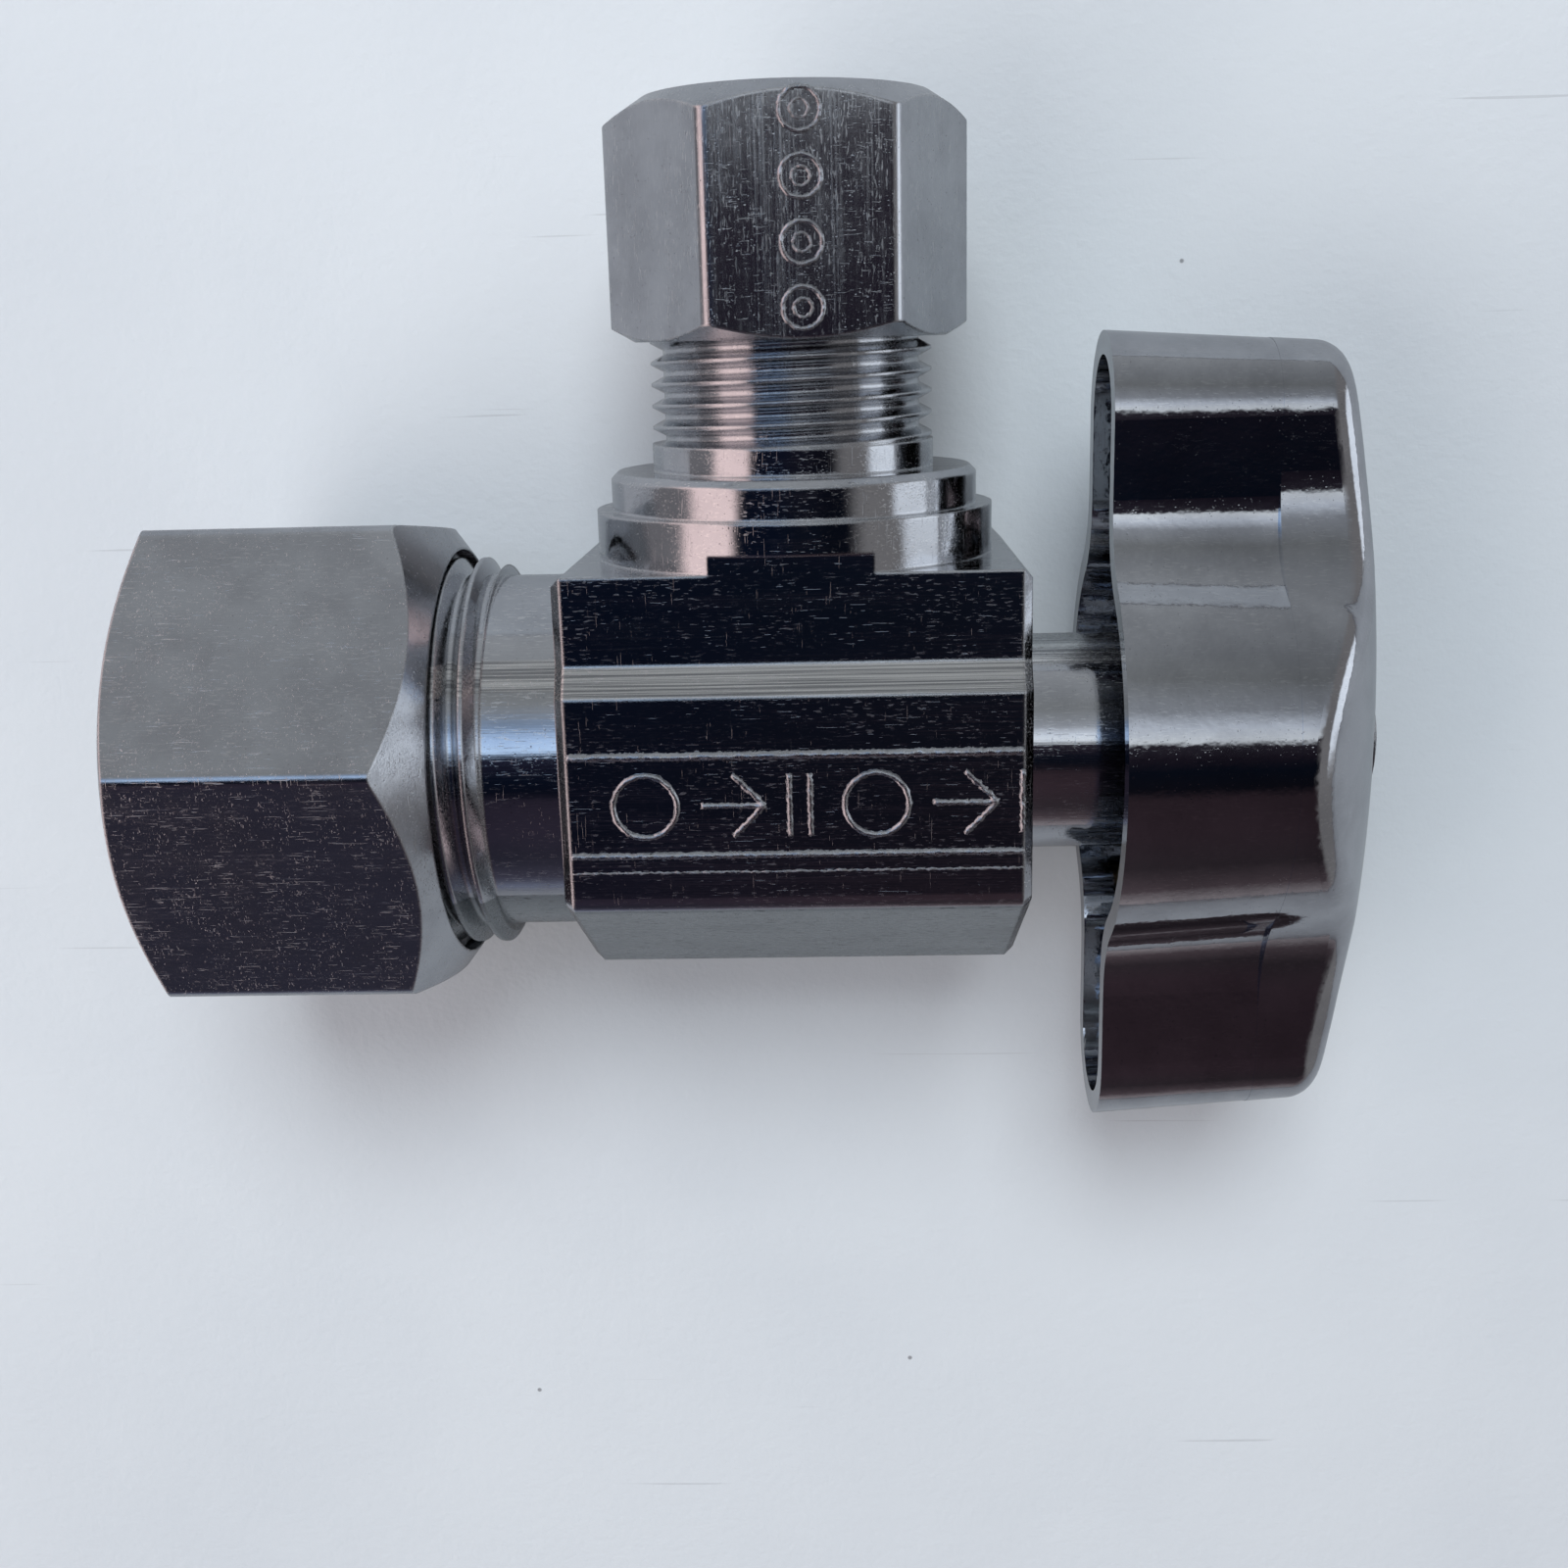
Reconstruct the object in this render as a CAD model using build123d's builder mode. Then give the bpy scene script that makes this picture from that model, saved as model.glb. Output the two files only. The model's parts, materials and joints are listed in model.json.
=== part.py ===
"""Quarter-turn angle stop valve with compression ends, as an assembly of separate pieces.

Millimetres. +X runs along the inlet axis toward the handle, +Y along the outlet axis, +Z is up
while the valve lies on its back. The origin is on the inlet axis, at the shoulder where the
supply tube stops.
"""
from build123d import *
import math
import os

os.makedirs("parts", exist_ok=True)

# ---------------------------------------------------------------- driving dimensions
# Tubes and threads
inlet_tube_d = 15.875
outlet_tube_d = 9.525
thread_over_tube = 4.7625
inlet_pitch = 25.4 / 18
outlet_pitch = 25.4 / 24
tube_gap = 0.0625
thread_gap = 0.15
thread_bevel = 0.7

# Inlet stub, measured outward from the tube stop
inlet_socket_depth = 14.6
inlet_thread_length = 11.6
inlet_undercut = 0.97

# Block: a hexagonal bar with a milled top
stop_to_outlet_axis = 12.4
block_inlet_side = 11.5
block_handle_side = 11.45
bar_across_flats = 20.64
bar_bottom = 12.25
bar_side_corner = 5.9
milled_width = 18.8
milled_start = 6.1
strip_height = 1.4
block_top = 10.4
block_round = 1.1
block_end_chamfer = 0.45

# Outlet stub, heights above the block's top
base_collar_height = 2.45
base_collar_step = 0.8
base_collar_flat = 0.9
top_collar_height = 1.9
top_collar_over_thread = 2.25
collar_bevel = 0.35
collar_sink = 1.0
plain_length = 1.35
plain_over_thread = 0.06
outlet_thread_length = 12.1
outlet_socket_depth = 9.5

# Compression nuts and ferrules
inlet_nut_over_thread = 3.175
inlet_nut_length = 15.7
inlet_nut_turn = 22.4
inlet_nut_past_end = 6.4
outlet_nut_over_thread = 1.5875
outlet_nut_length = 11.5
outlet_nut_turn = 6.0
outlet_nut_past_end = 4.45
inlet_nut_outer_bevel = 1.0
inlet_nut_outer_recede = 2.2
inlet_nut_inner_bevel = 2.2
inlet_nut_inner_recede = 2.9
outlet_nut_inner_bevel = 0.75
outlet_nut_inner_recede = 1.3
outlet_nut_outer_bevel = 1.3
outlet_nut_outer_recede = 2.0
nut_lip = 2.0
nut_corner_round = 0.8
nut_hole_gap = 0.16
nut_mouth_relief = 0.3
ferrule_wall = 0.92
ferrule_edge = 0.32
ferrule_gap = 0.1
mouth_width = 1.3
mouth_depth = 2.4

# Ball and seats
ball_d = 13.5
port_d = 6.8
cavity_gap = 0.5
seat_running_gap = 0.05
seat_side_gap = 0.04
seat_to_seat_gap = 0.25
inlet_seat_length = 3.4
inlet_seat_hole_d = 7.6
stem_seat_hole_d = 8.6
backing_ring_d = 1.2
retainer_key_width = 2.0
retainer_key_depth = 1.2
outlet_seat_d = 8.6
outlet_seat_reach = 8.95
stem_seat_length = 2.8

# Stem and neck
neck_d = 11.4
neck_length = 7.75
stem_d = 7.1
stem_running_gap = 0.04
shoulder_d = 9.4
shoulder_height = 1.5
thrust_washer_height = 0.6
tongue_width = 3.0
tongue_length = 7.8
tongue_depth = 2.2
tongue_gap = 0.05
o_ring_d = 1.0
o_ring_squeeze_gap = 0.03
o_ring_groove_width = 1.3
o_ring_inner_from_block = 0.2
o_ring_spacing = 2.6
dust_ring_width = 1.0
dust_ring_height = 1.2
drive_d = 6.0
drive_across_flats = 4.6
drive_gap = 0.04
drive_length = 6.6
stop_washer_height = 1.0
stop_washer_float = 0.1
stop_lug_height = 0.9
stop_lug_width = 2.4
stop_notch_depth = 1.5
stop_gap = 0.12
quarter_turn = 90.0

# Handle
rim_gap = 4.4
handle_length = 42.4
wing_width = 8.6
hub_bulge_d = 22.0
wing_blend = 5.0
cap_blend = 8.0
cap_lip = 0.02
handle_draft = 4.0
skirt_depth = 8.3
front_depth = 14.1
front_side_drop = 4.6
front_end_drop = 2.35
front_edge_round = 1.8
handle_wall = 1.2
front_wall = 1.6
handle_post_d = 10.4
screw_d = 3.5
screw_hole_gap = 0.25
screw_head_d = 7.0
screw_head_height = 1.9
screw_crown = 0.7
screw_engagement = 5.0
screw_drive_width = 1.0
screw_drive_length = 4.2
screw_drive_depth = 0.8
lock_washer_height = 0.6
screw_recess_gap = 0.15

# ---------------------------------------------------------------- derived sizes and places
outlet_x = stop_to_outlet_axis
block_start = outlet_x - block_inlet_side
block_end = outlet_x + block_handle_side
inlet_end = -inlet_socket_depth
inlet_thread_start = inlet_end + inlet_thread_length
base_collar_top = block_top + base_collar_height
top_collar_top = base_collar_top + top_collar_height
outlet_thread_start = top_collar_top + plain_length
outlet_end = outlet_thread_start + outlet_thread_length
outlet_stop = outlet_end - outlet_socket_depth

inlet_thread_d = inlet_tube_d + thread_over_tube
outlet_thread_d = outlet_tube_d + thread_over_tube
thread_depth_per_pitch = 0.61
thread_sink = 0.15
stub_overlap = 1.5

ball_r = ball_d / 2
cavity_r = ball_r + cavity_gap
seat_outer_r = cavity_r - seat_side_gap
stem_seat_start = outlet_x + outlet_seat_d / 2 + seat_to_seat_gap
cavity_end = stem_seat_start + stem_seat_length
inlet_seat_end = outlet_x - outlet_seat_d / 2 - seat_to_seat_gap
inlet_seat_start = inlet_seat_end - inlet_seat_length
backing_start = inlet_seat_start - backing_ring_d

stem_bore_r = stem_d / 2 + stem_running_gap
shoulder_top = cavity_end + shoulder_height
washer_top = shoulder_top + thrust_washer_height
neck_end = block_end + neck_length
tongue_end = outlet_x + ball_r - tongue_depth
shoulder_start = cavity_end + stem_running_gap
drive_start = neck_end + stop_washer_float
drive_end = drive_start + drive_length

rim_x = block_end + rim_gap
cap_start = rim_x + skirt_depth
front_x = rim_x + front_depth
draft_slope = math.tan(math.radians(handle_draft))
front_hub_r = hub_bulge_d / 2 - (front_depth - front_side_drop) * draft_slope
front_across_r = (front_hub_r**2 + front_side_drop**2) / (2 * front_side_drop)
front_along_r = ((handle_length / 2) ** 2 + front_end_drop**2) / (2 * front_end_drop)
barrel_x = front_x - front_across_r
post_start = drive_start + stop_washer_height
head_floor = front_x - screw_head_height - lock_washer_height + screw_crown / 2
screw_tip = drive_end - screw_engagement

stop_washer_r = neck_d / 2 - 0.1
stop_lug_inner_r = stem_bore_r + dust_ring_width + stop_gap
lug_half_angle = math.degrees(math.atan(stop_lug_width / 2 / stop_lug_inner_r))
stop_angle = math.degrees(stop_gap / stop_lug_inner_r)
notch_from = 180 - lug_half_angle - stop_angle
notch_to = 180 + quarter_turn + lug_half_angle + stop_angle

OUTLET_AXIS = Axis((outlet_x, 0, 0), (0, 1, 0))


# ---------------------------------------------------------------- shared helpers
def turn_on_inlet(points, mode=Mode.ADD):
    """Turn an outline of (position along X, radius) points about the inlet axis."""
    with BuildSketch(Plane.XY) as outline:
        with BuildLine():
            Polyline(*points, close=True)
        make_face()
    return revolve(outline.sketch, axis=Axis.X, mode=mode)


def turn_on_outlet(points, mode=Mode.ADD):
    """Turn an outline of (height along Y, radius) points about the outlet axis."""
    with BuildSketch(Plane.XY) as outline:
        with BuildLine():
            Polyline(*[(outlet_x + r, y) for y, r in points], close=True)
        make_face()
    return revolve(outline.sketch, axis=OUTLET_AXIS, mode=mode)


def tube(start, end, outer_r, inner_r=0.0):
    """Outline of a plain sleeve or rod as (position, radius) points."""
    return [(start, inner_r), (start, outer_r), (end, outer_r), (end, inner_r)]


def threaded_stub(start, outward, turn, major_d, pitch, length):
    """Core with one right-hand thread ridge, trimmed square at its start and bevelled outside.

    start is the point on the axis where the thread begins, outward the way it runs, and turn
    the helper that turns an outline about that axis.
    """
    depth = thread_depth_per_pitch * pitch
    root_r = thread_root(major_d, pitch)
    spare = 2 * pitch
    first = Vector(start) - Vector(outward) * spare
    along = Vector(start).dot(Vector(*[abs(part) for part in outward]))
    way = sum(outward)
    with BuildPart() as stub:
        with BuildLine() as path:
            Helix(pitch, length + 2 * spare, root_r, center=first, direction=outward)
        ridge_start = path.line @ 0
        with BuildSketch(Plane(ridge_start, x_dir=ridge_start - first, z_dir=path.line % 0)):
            with BuildLine():
                Polyline(
                    (-thread_sink, -0.47 * pitch),
                    (depth, -0.07 * pitch),
                    (depth, 0.07 * pitch),
                    (-thread_sink, 0.47 * pitch),
                    close=True,
                )
            make_face()
        sweep(is_frenet=True)
        turn(tube(along - way * 2 * spare, along + way * (length + 2 * spare), root_r))
        crest = major_d / 2
        over = 0.5
        end = along + way * length
        turn(
            [
                (along, 0),
                (along, crest + over),
                (end - way * (thread_bevel + over), crest + over),
                (end, crest - thread_bevel),
                (end, 0),
            ],
            mode=Mode.INTERSECT,
        )
    return stub.part


def thread_root(major_d, pitch):
    """Radius at the bottom of the thread."""
    return major_d / 2 - thread_depth_per_pitch * pitch


def nut_inside(tube_d, thread_d, length, past_end):
    """Cut of a compression nut: (distance out from the body's end, radius) points."""
    hole_r = tube_d / 2 + nut_hole_gap
    seat_r = tube_d / 2 + ferrule_wall + 0.25
    bore_r = thread_d / 2 + thread_gap
    lip = past_end - nut_lip
    mouth = past_end - length
    return [
        (past_end + 1, 0),
        (past_end + 1, hole_r),
        (lip, hole_r),
        (lip - (seat_r - hole_r), seat_r),
        (lip - (seat_r - hole_r), bore_r),
        (mouth + 1.2, bore_r),
        (mouth + 0.9, bore_r + nut_mouth_relief),
        (mouth - 1, bore_r + nut_mouth_relief),
        (mouth - 1, 0),
    ]


def ferrule_outline(tube_d, past_end):
    """Sleeve between the nut's cone and the mouth's cone, as (distance out, radius) points."""
    inner_r = tube_d / 2 + tube_gap + 0.03
    outer_r = tube_d / 2 + ferrule_wall
    hole_r = tube_d / 2 + nut_hole_gap
    lip = past_end - nut_lip - ferrule_gap
    edge_r = inner_r + ferrule_edge
    slope = mouth_depth / mouth_width
    mouth_r = tube_d / 2 + tube_gap + mouth_width - ferrule_gap
    return [
        (lip - (edge_r - hole_r), inner_r),
        (lip - (edge_r - hole_r), edge_r),
        (lip - (outer_r - hole_r), outer_r),
        (-(mouth_r - outer_r) * slope, outer_r),
        (-(mouth_r - edge_r) * slope, edge_r),
        (-(mouth_r - edge_r) * slope, inner_r),
    ]


# ---------------------------------------------------------------- valve body
inlet_undercut_r = inlet_thread_d / 2 - inlet_undercut
top_collar_r = outlet_thread_d / 2 + top_collar_over_thread
base_collar_r = top_collar_r + base_collar_step
half_bar = bar_across_flats / 2
half_milled = milled_width / 2
socket_r = inlet_tube_d / 2 + tube_gap
outlet_socket_r = outlet_tube_d / 2 + tube_gap

inlet_stub = threaded_stub(
    (inlet_thread_start, 0, 0),
    (-1, 0, 0),
    turn_on_inlet,
    inlet_thread_d,
    inlet_pitch,
    inlet_thread_length,
)
outlet_stub = threaded_stub(
    (outlet_x, outlet_thread_start, 0),
    (0, 1, 0),
    turn_on_outlet,
    outlet_thread_d,
    outlet_pitch,
    outlet_thread_length,
)

with BuildPart() as valve_body:
    with BuildSketch(Plane.YZ.offset(block_start)) as bar:
        with BuildLine():
            Polyline(
                (-bar_bottom, 0),
                (-bar_side_corner, half_bar),
                (milled_start - strip_height, half_bar),
                (milled_start, half_milled),
                (block_top, half_milled),
                (block_top, -half_milled),
                (milled_start, -half_milled),
                (milled_start - strip_height, -half_bar),
                (-bar_side_corner, -half_bar),
                close=True,
            )
        make_face()
        fillet(bar.vertices().group_by(Axis.X)[0] + bar.vertices().group_by(Axis.X)[1], block_round)
    extrude(amount=block_inlet_side + block_handle_side)
    end_faces = valve_body.faces().filter_by(Axis.X)
    chamfer(end_faces.edges(), block_end_chamfer)
    # collars, the lower one with the block's milled sides running up into it
    turn_on_outlet(tube(block_top - collar_sink, base_collar_top, base_collar_r))
    milled_height = block_top + base_collar_flat - milled_start
    for side in (-1, 1):
        with Locations((outlet_x, milled_start + milled_height / 2, side * (half_milled + 2))):
            Box(2 * base_collar_r + 6, milled_height, 4, mode=Mode.SUBTRACT)
    turn_on_outlet(
        [
            (block_top - collar_sink, 0),
            (block_top - collar_sink, top_collar_r),
            (top_collar_top - collar_bevel, top_collar_r),
            (top_collar_top, top_collar_r - collar_bevel),
            (top_collar_top, outlet_thread_d / 2 + plain_over_thread),
            (outlet_thread_start, outlet_thread_d / 2 + plain_over_thread),
            (outlet_thread_start, outlet_thread_d / 2 - stub_overlap),
            (outlet_thread_start + stub_overlap, outlet_thread_d / 2 - stub_overlap),
            (outlet_thread_start + stub_overlap, 0),
        ]
    )
    # inlet stub and the neck for the stem
    turn_on_inlet(
        [
            (block_start + 1, 0),
            (block_start + 1, inlet_undercut_r),
            (inlet_thread_start - 0.2, inlet_undercut_r),
            (inlet_thread_start - 0.2, 0),
        ]
    )
    turn_on_inlet(tube(block_end - 1, neck_end, neck_d / 2))
    add(inlet_stub)
    add(outlet_stub)
    # tube socket, ball cavity and stem bore, all on the inlet axis
    turn_on_inlet(
        [
            (inlet_end - 1, 0),
            (inlet_end - 1, socket_r + mouth_width),
            (inlet_end, socket_r + mouth_width),
            (inlet_end + mouth_depth, socket_r),
            (0, socket_r),
            (0, cavity_r),
            (cavity_end, cavity_r),
            (cavity_end, shoulder_d / 2 + stem_running_gap),
            (washer_top, shoulder_d / 2 + stem_running_gap),
            (washer_top, stem_bore_r),
            (neck_end - dust_ring_height - stop_notch_depth, stem_bore_r),
            (neck_end - dust_ring_height - stop_notch_depth, stem_bore_r + dust_ring_width),
            (neck_end + 1, stem_bore_r + dust_ring_width),
            (neck_end + 1, 0),
        ],
        mode=Mode.SUBTRACT,
    )
    # seat pocket, passage and tube socket on the outlet axis
    turn_on_outlet(
        [
            (0, 0),
            (0, outlet_seat_d / 2 + seat_side_gap),
            (outlet_seat_reach, outlet_seat_d / 2 + seat_side_gap),
            (outlet_seat_reach, port_d / 2),
            (outlet_stop, port_d / 2),
            (outlet_stop, outlet_socket_r),
            (outlet_end - mouth_depth, outlet_socket_r),
            (outlet_end, outlet_socket_r + mouth_width),
            (outlet_end + 1, outlet_socket_r + mouth_width),
            (outlet_end + 1, 0),
        ],
        mode=Mode.SUBTRACT,
    )
    # notch in the neck's end, in which the stop washer's lug swings a quarter turn
    with BuildSketch(Plane.YZ.offset(neck_end - stop_notch_depth)):
        with BuildLine():
            notch_arc = CenterArc((0, 0), neck_d, notch_from, notch_to - notch_from)
            Line((0, 0), notch_arc @ 0)
            Line((0, 0), notch_arc @ 1)
        make_face()
    extrude(amount=stop_notch_depth + 1, mode=Mode.SUBTRACT)
valve_body.part.label = "valve_body"
export_step(valve_body.part, "parts/valve_body.step")


# ---------------------------------------------------------------- compression nuts and ferrules
def nut_envelope(start, end, radius, start_bevel, end_bevel, start_face, end_face):
    """Turned outline that bevels a hexagon's ends, from a face radius out to the corners."""
    return [
        (start, 0),
        (start, start_face),
        (start + start_bevel, radius),
        (end - end_bevel, radius),
        (end, end_face),
        (end, 0),
    ]


inlet_nut_start = inlet_end - inlet_nut_past_end
inlet_nut_end = inlet_nut_start + inlet_nut_length
inlet_nut_af = inlet_thread_d + inlet_nut_over_thread
inlet_nut_r = inlet_nut_af / math.sqrt(3)
with BuildPart() as inlet_nut:
    with BuildSketch(Plane.YZ.offset(inlet_nut_start)) as hexagon:
        RegularPolygon(inlet_nut_af / 2, 6, major_radius=False, rotation=inlet_nut_turn)
        fillet(hexagon.vertices(), nut_corner_round)
    extrude(amount=inlet_nut_length)
    turn_on_inlet(
        nut_envelope(
            inlet_nut_start,
            inlet_nut_end,
            inlet_nut_r,
            inlet_nut_outer_bevel,
            inlet_nut_inner_bevel,
            inlet_nut_r - inlet_nut_outer_recede,
            inlet_nut_r - inlet_nut_inner_recede,
        ),
        mode=Mode.INTERSECT,
    )
    inside = nut_inside(inlet_tube_d, inlet_thread_d, inlet_nut_length, inlet_nut_past_end)
    turn_on_inlet([(inlet_end - out, r) for out, r in inside], mode=Mode.SUBTRACT)
inlet_nut.part.label = "inlet_nut"
export_step(inlet_nut.part, "parts/inlet_nut.step")

with BuildPart() as inlet_ferrule:
    sleeve = ferrule_outline(inlet_tube_d, inlet_nut_past_end)
    turn_on_inlet([(inlet_end - out, r) for out, r in sleeve])
inlet_ferrule.part.label = "inlet_ferrule"
export_step(inlet_ferrule.part, "parts/inlet_ferrule.step")

outlet_nut_end = outlet_end + outlet_nut_past_end
outlet_nut_start = outlet_nut_end - outlet_nut_length
outlet_nut_af = outlet_thread_d + outlet_nut_over_thread
outlet_nut_r = outlet_nut_af / math.sqrt(3)
outlet_nut_plane = Plane((outlet_x, outlet_nut_start, 0), x_dir=(1, 0, 0), z_dir=(0, 1, 0))
with BuildPart() as outlet_nut:
    with BuildSketch(outlet_nut_plane) as hexagon:
        RegularPolygon(outlet_nut_af / 2, 6, major_radius=False, rotation=outlet_nut_turn)
        fillet(hexagon.vertices(), nut_corner_round)
    extrude(amount=outlet_nut_length)
    turn_on_outlet(
        nut_envelope(
            outlet_nut_start,
            outlet_nut_end,
            outlet_nut_r,
            outlet_nut_inner_bevel,
            outlet_nut_outer_bevel,
            outlet_nut_r - outlet_nut_inner_recede,
            outlet_nut_r - outlet_nut_outer_recede,
        ),
        mode=Mode.INTERSECT,
    )
    inside = nut_inside(outlet_tube_d, outlet_thread_d, outlet_nut_length, outlet_nut_past_end)
    turn_on_outlet([(outlet_end + out, r) for out, r in inside], mode=Mode.SUBTRACT)
outlet_nut.part.label = "outlet_nut"
export_step(outlet_nut.part, "parts/outlet_nut.step")

with BuildPart() as outlet_ferrule:
    sleeve = ferrule_outline(outlet_tube_d, outlet_nut_past_end)
    turn_on_outlet([(outlet_end + out, r) for out, r in sleeve])
outlet_ferrule.part.label = "outlet_ferrule"
export_step(outlet_ferrule.part, "parts/outlet_ferrule.step")

# ---------------------------------------------------------------- ball and seats
with BuildPart() as ball:
    with Locations((outlet_x, 0, 0)):
        Sphere(ball_r)
    turn_on_inlet(tube(outlet_x - ball_d, outlet_x, port_d / 2), mode=Mode.SUBTRACT)
    turn_on_outlet(tube(0, ball_d, port_d / 2), mode=Mode.SUBTRACT)
    with Locations((outlet_x, 0, 0)):
        Sphere(port_d / 2, mode=Mode.SUBTRACT)
    slot_height = tongue_depth + tongue_gap + 1
    with Locations((tongue_end - tongue_gap + slot_height / 2, 0, 0)):
        Box(slot_height, ball_d, tongue_width + 2 * tongue_gap, mode=Mode.SUBTRACT)
ball.part.label = "ball"
export_step(ball.part, "parts/ball.step")

with BuildPart() as inlet_seat:
    turn_on_inlet(tube(inlet_seat_start, inlet_seat_end, seat_outer_r, inlet_seat_hole_d / 2))
    with Locations((outlet_x, 0, 0)):
        Sphere(ball_r + seat_running_gap, mode=Mode.SUBTRACT)
inlet_seat.part.label = "inlet_seat"
export_step(inlet_seat.part, "parts/inlet_seat.step")

with BuildPart() as stem_side_seat:
    turn_on_inlet(tube(stem_seat_start, cavity_end, seat_outer_r, stem_seat_hole_d / 2))
    with Locations((outlet_x, 0, 0)):
        Sphere(ball_r + seat_running_gap, rotation=(0, 0, 180), mode=Mode.SUBTRACT)
stem_side_seat.part.label = "stem_side_seat"
export_step(stem_side_seat.part, "parts/stem_side_seat.step")

with BuildPart() as outlet_seat:
    turn_on_outlet(tube(ball_r / 2, outlet_seat_reach, outlet_seat_d / 2, port_d / 2))
    with Locations((outlet_x, 0, 0)):
        Sphere(ball_r + seat_running_gap, mode=Mode.SUBTRACT)
outlet_seat.part.label = "outlet_seat"
export_step(outlet_seat.part, "parts/outlet_seat.step")


with BuildPart() as seat_backing_ring:
    with BuildSketch(Plane.XY) as section:
        with Locations((backing_start + backing_ring_d / 2, seat_outer_r - backing_ring_d / 2)):
            Circle(backing_ring_d / 2)
    revolve(axis=Axis.X)
seat_backing_ring.part.label = "seat_backing_ring"
export_step(seat_backing_ring.part, "parts/seat_backing_ring.step")

with BuildPart() as seat_retainer:
    turn_on_inlet(tube(0, backing_start, seat_outer_r, inlet_seat_hole_d / 2))
    with Locations((retainer_key_depth / 2, 0, 0)):
        Box(retainer_key_depth, 2 * cavity_r, retainer_key_width, mode=Mode.SUBTRACT)
seat_retainer.part.label = "seat_retainer"
export_step(seat_retainer.part, "parts/seat_retainer.step")

# ---------------------------------------------------------------- stem and what is on it
groove_r = stem_bore_r - o_ring_squeeze_gap - o_ring_d
groove_middles = [
    block_end + o_ring_inner_from_block + step * o_ring_spacing for step in (0, 1)
]
with BuildPart() as stem:
    turn_on_inlet(
        [
            (shoulder_start, 0),
            (shoulder_start, shoulder_d / 2),
            (shoulder_top, shoulder_d / 2),
            (shoulder_top, stem_d / 2),
            (drive_start, stem_d / 2),
            (drive_start, drive_d / 2),
            (drive_end, drive_d / 2),
            (drive_end, 0),
        ]
    )
    with Locations(((tongue_end + shoulder_start + stem_running_gap) / 2, 0, 0)):
        Box(shoulder_start + stem_running_gap - tongue_end, tongue_length, tongue_width)
    for middle in groove_middles:
        half = o_ring_groove_width / 2
        turn_on_inlet(tube(middle - half, middle + half, stem_d, groove_r), mode=Mode.SUBTRACT)
    for side in (-1, 1):
        flat_offset = side * (drive_across_flats / 2 + drive_d / 2)
        with Locations(((drive_start + drive_end) / 2, 0, flat_offset)):
            Box(drive_length, 2 * drive_d, drive_d, mode=Mode.SUBTRACT)
    turn_on_inlet(
        tube(drive_end - screw_engagement - 1, drive_end + 1, screw_d / 2),
        mode=Mode.SUBTRACT,
    )
stem.part.label = "stem"
export_step(stem.part, "parts/stem.step")

for name, middle in zip(("stem_o_ring_inner", "stem_o_ring_outer"), groove_middles):
    with BuildPart() as stem_o_ring:
        with BuildSketch(Plane.XY) as section:
            with Locations((middle, groove_r + o_ring_d / 2)):
                Circle(o_ring_d / 2)
        revolve(axis=Axis.X)
    stem_o_ring.part.label = name
    export_step(stem_o_ring.part, f"parts/{name}.step")

with BuildPart() as stem_thrust_washer:
    turn_on_inlet(tube(shoulder_top, washer_top - stem_running_gap, shoulder_d / 2, stem_d / 2))
stem_thrust_washer.part.label = "stem_thrust_washer"
export_step(stem_thrust_washer.part, "parts/stem_thrust_washer.step")

dust_ring_end = neck_end - stop_notch_depth
with BuildPart() as dust_ring:
    turn_on_inlet(
        tube(dust_ring_end - dust_ring_height, dust_ring_end, stem_bore_r + dust_ring_width, stem_bore_r)
    )
dust_ring.part.label = "dust_ring"
export_step(dust_ring.part, "parts/dust_ring.step")


def drive_section(gap):
    """Round with two flats: the stem's end when gap is 0, or the hole that fits on it."""
    Circle(drive_d / 2 + gap)
    Rectangle(2 * drive_d, drive_across_flats + 2 * gap, mode=Mode.INTERSECT)


with BuildPart() as stop_washer:
    turn_on_inlet(tube(drive_start, post_start, stop_washer_r))
    lug_radial = stop_washer_r - stop_lug_inner_r - stop_gap
    with Locations((drive_start - stop_lug_height / 2, -stop_lug_inner_r - lug_radial / 2, 0)):
        Box(stop_lug_height + 0.2, lug_radial, stop_lug_width)
    with BuildSketch(Plane.YZ.offset(drive_start - 1)):
        drive_section(drive_gap)
    extrude(amount=stop_washer_height + 2, mode=Mode.SUBTRACT)
stop_washer.part.label = "stop_washer"
export_step(stop_washer.part, "parts/stop_washer.step")

# ---------------------------------------------------------------- handle and its screw


def handle_outline(shrink, blend):
    """Round hub with two straight wings, with concave blends between them."""
    Circle(hub_bulge_d / 2 - shrink)
    SlotOverall(handle_length - 2 * shrink, wing_width - 2 * shrink)
    sketch = BuildSketch._get_context()
    fillet(sketch.vertices().filter_by(lambda v: abs(v.X) < hub_bulge_d / 2 - shrink), blend)


def front(depth):
    """Trim to a barrel that lies along the wings, its skin this depth under the handle's front."""
    reach = handle_length / 2 + 1
    sag = front_along_r - math.sqrt(front_along_r**2 - reach**2)
    middle_x = barrel_x - (front_across_r - depth)
    with BuildSketch(Plane.XY) as section:
        with BuildLine():
            ThreePointArc((middle_x + sag, -reach), (middle_x, 0), (middle_x + sag, reach))
            Line((middle_x + sag, reach), (barrel_x, reach))
            Line((barrel_x, reach), (barrel_x, -reach))
            Line((barrel_x, -reach), (middle_x + sag, -reach))
        make_face()
    revolve(section.sketch, axis=Axis((barrel_x, 0, 0), (0, 1, 0)), mode=Mode.INTERSECT)


with BuildPart() as handle_core:
    with BuildSketch(Plane.YZ.offset(rim_x)):
        handle_outline(handle_wall, wing_blend)
    extrude(amount=front_depth, taper=handle_draft)
    front(front_wall)

with BuildPart() as handle_post:
    turn_on_inlet(tube(post_start, front_x, handle_post_d / 2))
    front(front_wall / 2)

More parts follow.
